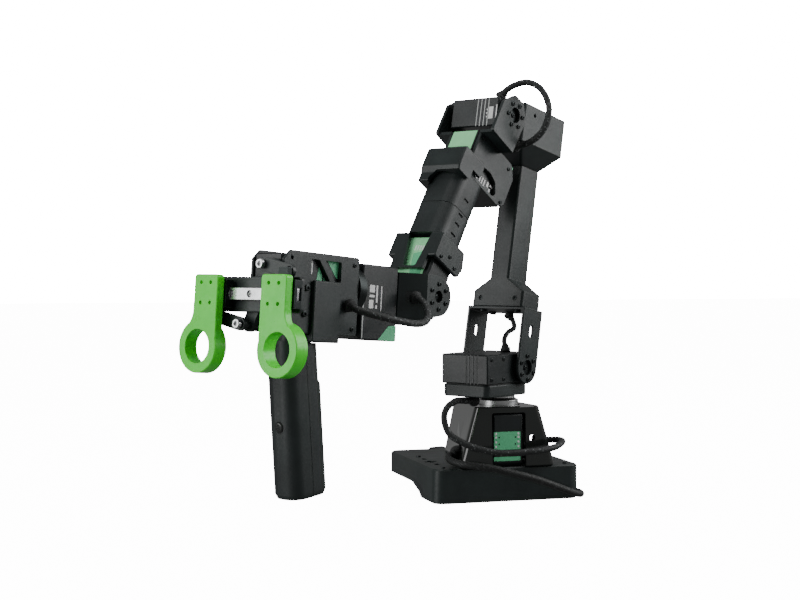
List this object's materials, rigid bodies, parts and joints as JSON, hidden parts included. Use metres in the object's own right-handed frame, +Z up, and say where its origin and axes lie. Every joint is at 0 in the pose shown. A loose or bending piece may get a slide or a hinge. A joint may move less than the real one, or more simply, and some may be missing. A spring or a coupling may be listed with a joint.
{
  "type": "robot arm",
  "caption": "Desktop articulated robot arm on a flat base, with servo joints, a roll wrist, a hanging handle and two sliding green finger rings.",
  "frame": {"origin": "on the underside of the base, straight below the yaw axis", "axes": "+Z up along the yaw axis, +X out of the front of the base, +Y to the right of the base when its front is faced"},
  "size_m": [0.3644, 0.3046, 0.297],
  "materials": {
    "satin_black": "satin",
    "soft_black": "satin",
    "gloss_black": "gloss",
    "servo_case": "satin",
    "dark_metal": "anodised",
    "steel": "brushed",
    "bright_steel": "polished",
    "green_plastic": "satin",
    "rubber": "matte",
    "braided_sleeve": "braided",
    "circuit_board": "satin"
  },
  "bodies": {
    "base": {"base_plate": "satin_black", "base_cover": "satin_black", "control_board": "circuit_board", "base_shroud": "gloss_black", "yaw_servo": "servo_case", "cable_gland": "rubber", "power_cable": "braided_sleeve", "power_coil": "braided_sleeve", "power_plug": "rubber"},
    "shoulder": {"yaw_horn": "steel", "shoulder_tray": "satin_black", "shoulder_servo": "servo_case", "base_lead": "braided_sleeve"},
    "upper_arm": {"shoulder_horn": "dark_metal", "shoulder_idler": "dark_metal", "shoulder_yoke": "satin_black", "column": "satin_black", "column_cover": "satin_black", "elbow_housing": "satin_black", "elbow_servo": "servo_case", "shoulder_lead": "braided_sleeve"},
    "forearm": {"elbow_horn": "dark_metal", "elbow_idler": "dark_metal", "forearm_plate_right": "satin_black", "forearm_plate_left": "satin_black", "forearm_roll_servo": "servo_case", "forearm_cover": "satin_black", "elbow_lead": "braided_sleeve"},
    "forearm_tube": {"roll_horn": "steel", "forearm_tube_upper": "soft_black", "forearm_tube_lower": "soft_black", "wrist_servo": "servo_case", "wrist_housing": "satin_black"},
    "wrist": {"wrist_horn": "dark_metal", "wrist_idler": "dark_metal", "wrist_yoke": "satin_black", "wrist_roll_servo": "servo_case"},
    "hand": {"hand_horn": "dark_metal", "hand_rear_plate": "satin_black", "hand_plate_right": "satin_black", "hand_plate_left": "satin_black", "gripper_servo": "servo_case", "hand_bracket": "satin_black", "rail_plate": "satin_black", "rail": "bright_steel", "handle_front": "soft_black", "handle_rear": "soft_black", "hand_lead": "braided_sleeve"},
    "crank": {"gripper_crank": "satin_black", "pivot_screw_right": "bright_steel", "pivot_screw_left": "bright_steel"},
    "link_right": {"link_right": "satin_black"},
    "link_left": {"link_left": "satin_black"},
    "ring_right": {"carriage_right": "dark_metal", "ring_right": "green_plastic"},
    "ring_left": {"carriage_left": "dark_metal", "ring_left": "green_plastic"},
    "button": {"handle_button": "gloss_black"}
  },
  "joints": [
    {"name": "base_yaw", "type": "hinge", "parent": "base", "child": "shoulder", "pos_m": [0, 0, 0.07], "axis": [0, 0, 1], "range_deg": [-79, 191], "deforming": ["base_lead"]},
    {"name": "shoulder_pitch", "type": "hinge", "parent": "shoulder", "child": "upper_arm", "pos_m": [0, 0, 0.094], "axis": [0.8305, 0.557, 0], "range_deg": [-65, 25], "deforming": ["shoulder_lead"]},
    {"name": "elbow_pitch", "type": "hinge", "parent": "upper_arm", "child": "forearm", "pos_m": [0.00853, -0.01272, 0.27097], "axis": [0.8305, 0.557, 0], "range_deg": [-135, 4], "deforming": ["elbow_lead"]},
    {"name": "forearm_roll", "type": "hinge", "parent": "forearm", "child": "forearm_tube", "pos_m": [0.02827, -0.04215, 0.2224], "axis": [0.2976, -0.4438, -0.8453], "range_deg": [-120, 120]},
    {"name": "wrist_pitch", "type": "hinge", "parent": "forearm_tube", "child": "wrist", "pos_m": [0.0553, -0.08245, 0.14564], "axis": [0.8305, 0.557, 0], "range_deg": [-40, 30]},
    {"name": "hand_roll", "type": "hinge", "parent": "wrist", "child": "hand", "pos_m": [0.09139, -0.13626, 0.15074], "axis": [0.5553, -0.8279, 0.0785], "range_deg": [-150, 150], "deforming": ["hand_lead"]},
    {"name": "ring_right_slide", "type": "slide", "parent": "hand", "child": "ring_right", "axis": [-0.8305, -0.557, 0], "range_m": [0, 0.013]},
    {"name": "ring_left_slide", "type": "slide", "parent": "hand", "child": "ring_left", "axis": [0.8305, 0.557, 0], "range_m": [0, 0.0131]},
    {"name": "crank_turn", "type": "hinge", "parent": "hand", "child": "crank", "pos_m": [0.13339, -0.19888, 0.14865], "axis": [0.5553, -0.8279, 0.0785], "range_deg": [0, 38.2]},
    {"name": "link_right_turn", "type": "hinge", "parent": "crank", "child": "link_right", "pos_m": [0.14348, -0.19884, 0.16685], "axis": [0.5553, -0.8279, 0.0785], "range_deg": [-42.2, 0]},
    {"name": "link_left_turn", "type": "hinge", "parent": "crank", "child": "link_left", "pos_m": [0.13107, -0.21051, 0.13156], "axis": [0.5553, -0.8279, 0.0785], "range_deg": [-42.2, 0]},
    {"name": "handle_button_press", "type": "slide", "parent": "hand", "child": "button", "axis": [-0.5553, 0.8279, 0.0785], "range_m": [0, 0.0012], "stiffness_N_per_m": 400}
  ],
  "couplings": [
    {"joint": "ring_left_slide", "follows": "ring_right_slide", "ratio": 1},
    {"joint": "crank_turn", "follows": "ring_right_slide", "rad_per_m": 51.017},
    {"joint": "link_right_turn", "follows": "ring_right_slide", "rad_per_m": -56.388},
    {"joint": "link_left_turn", "follows": "ring_right_slide", "rad_per_m": -56.388}
  ]
}
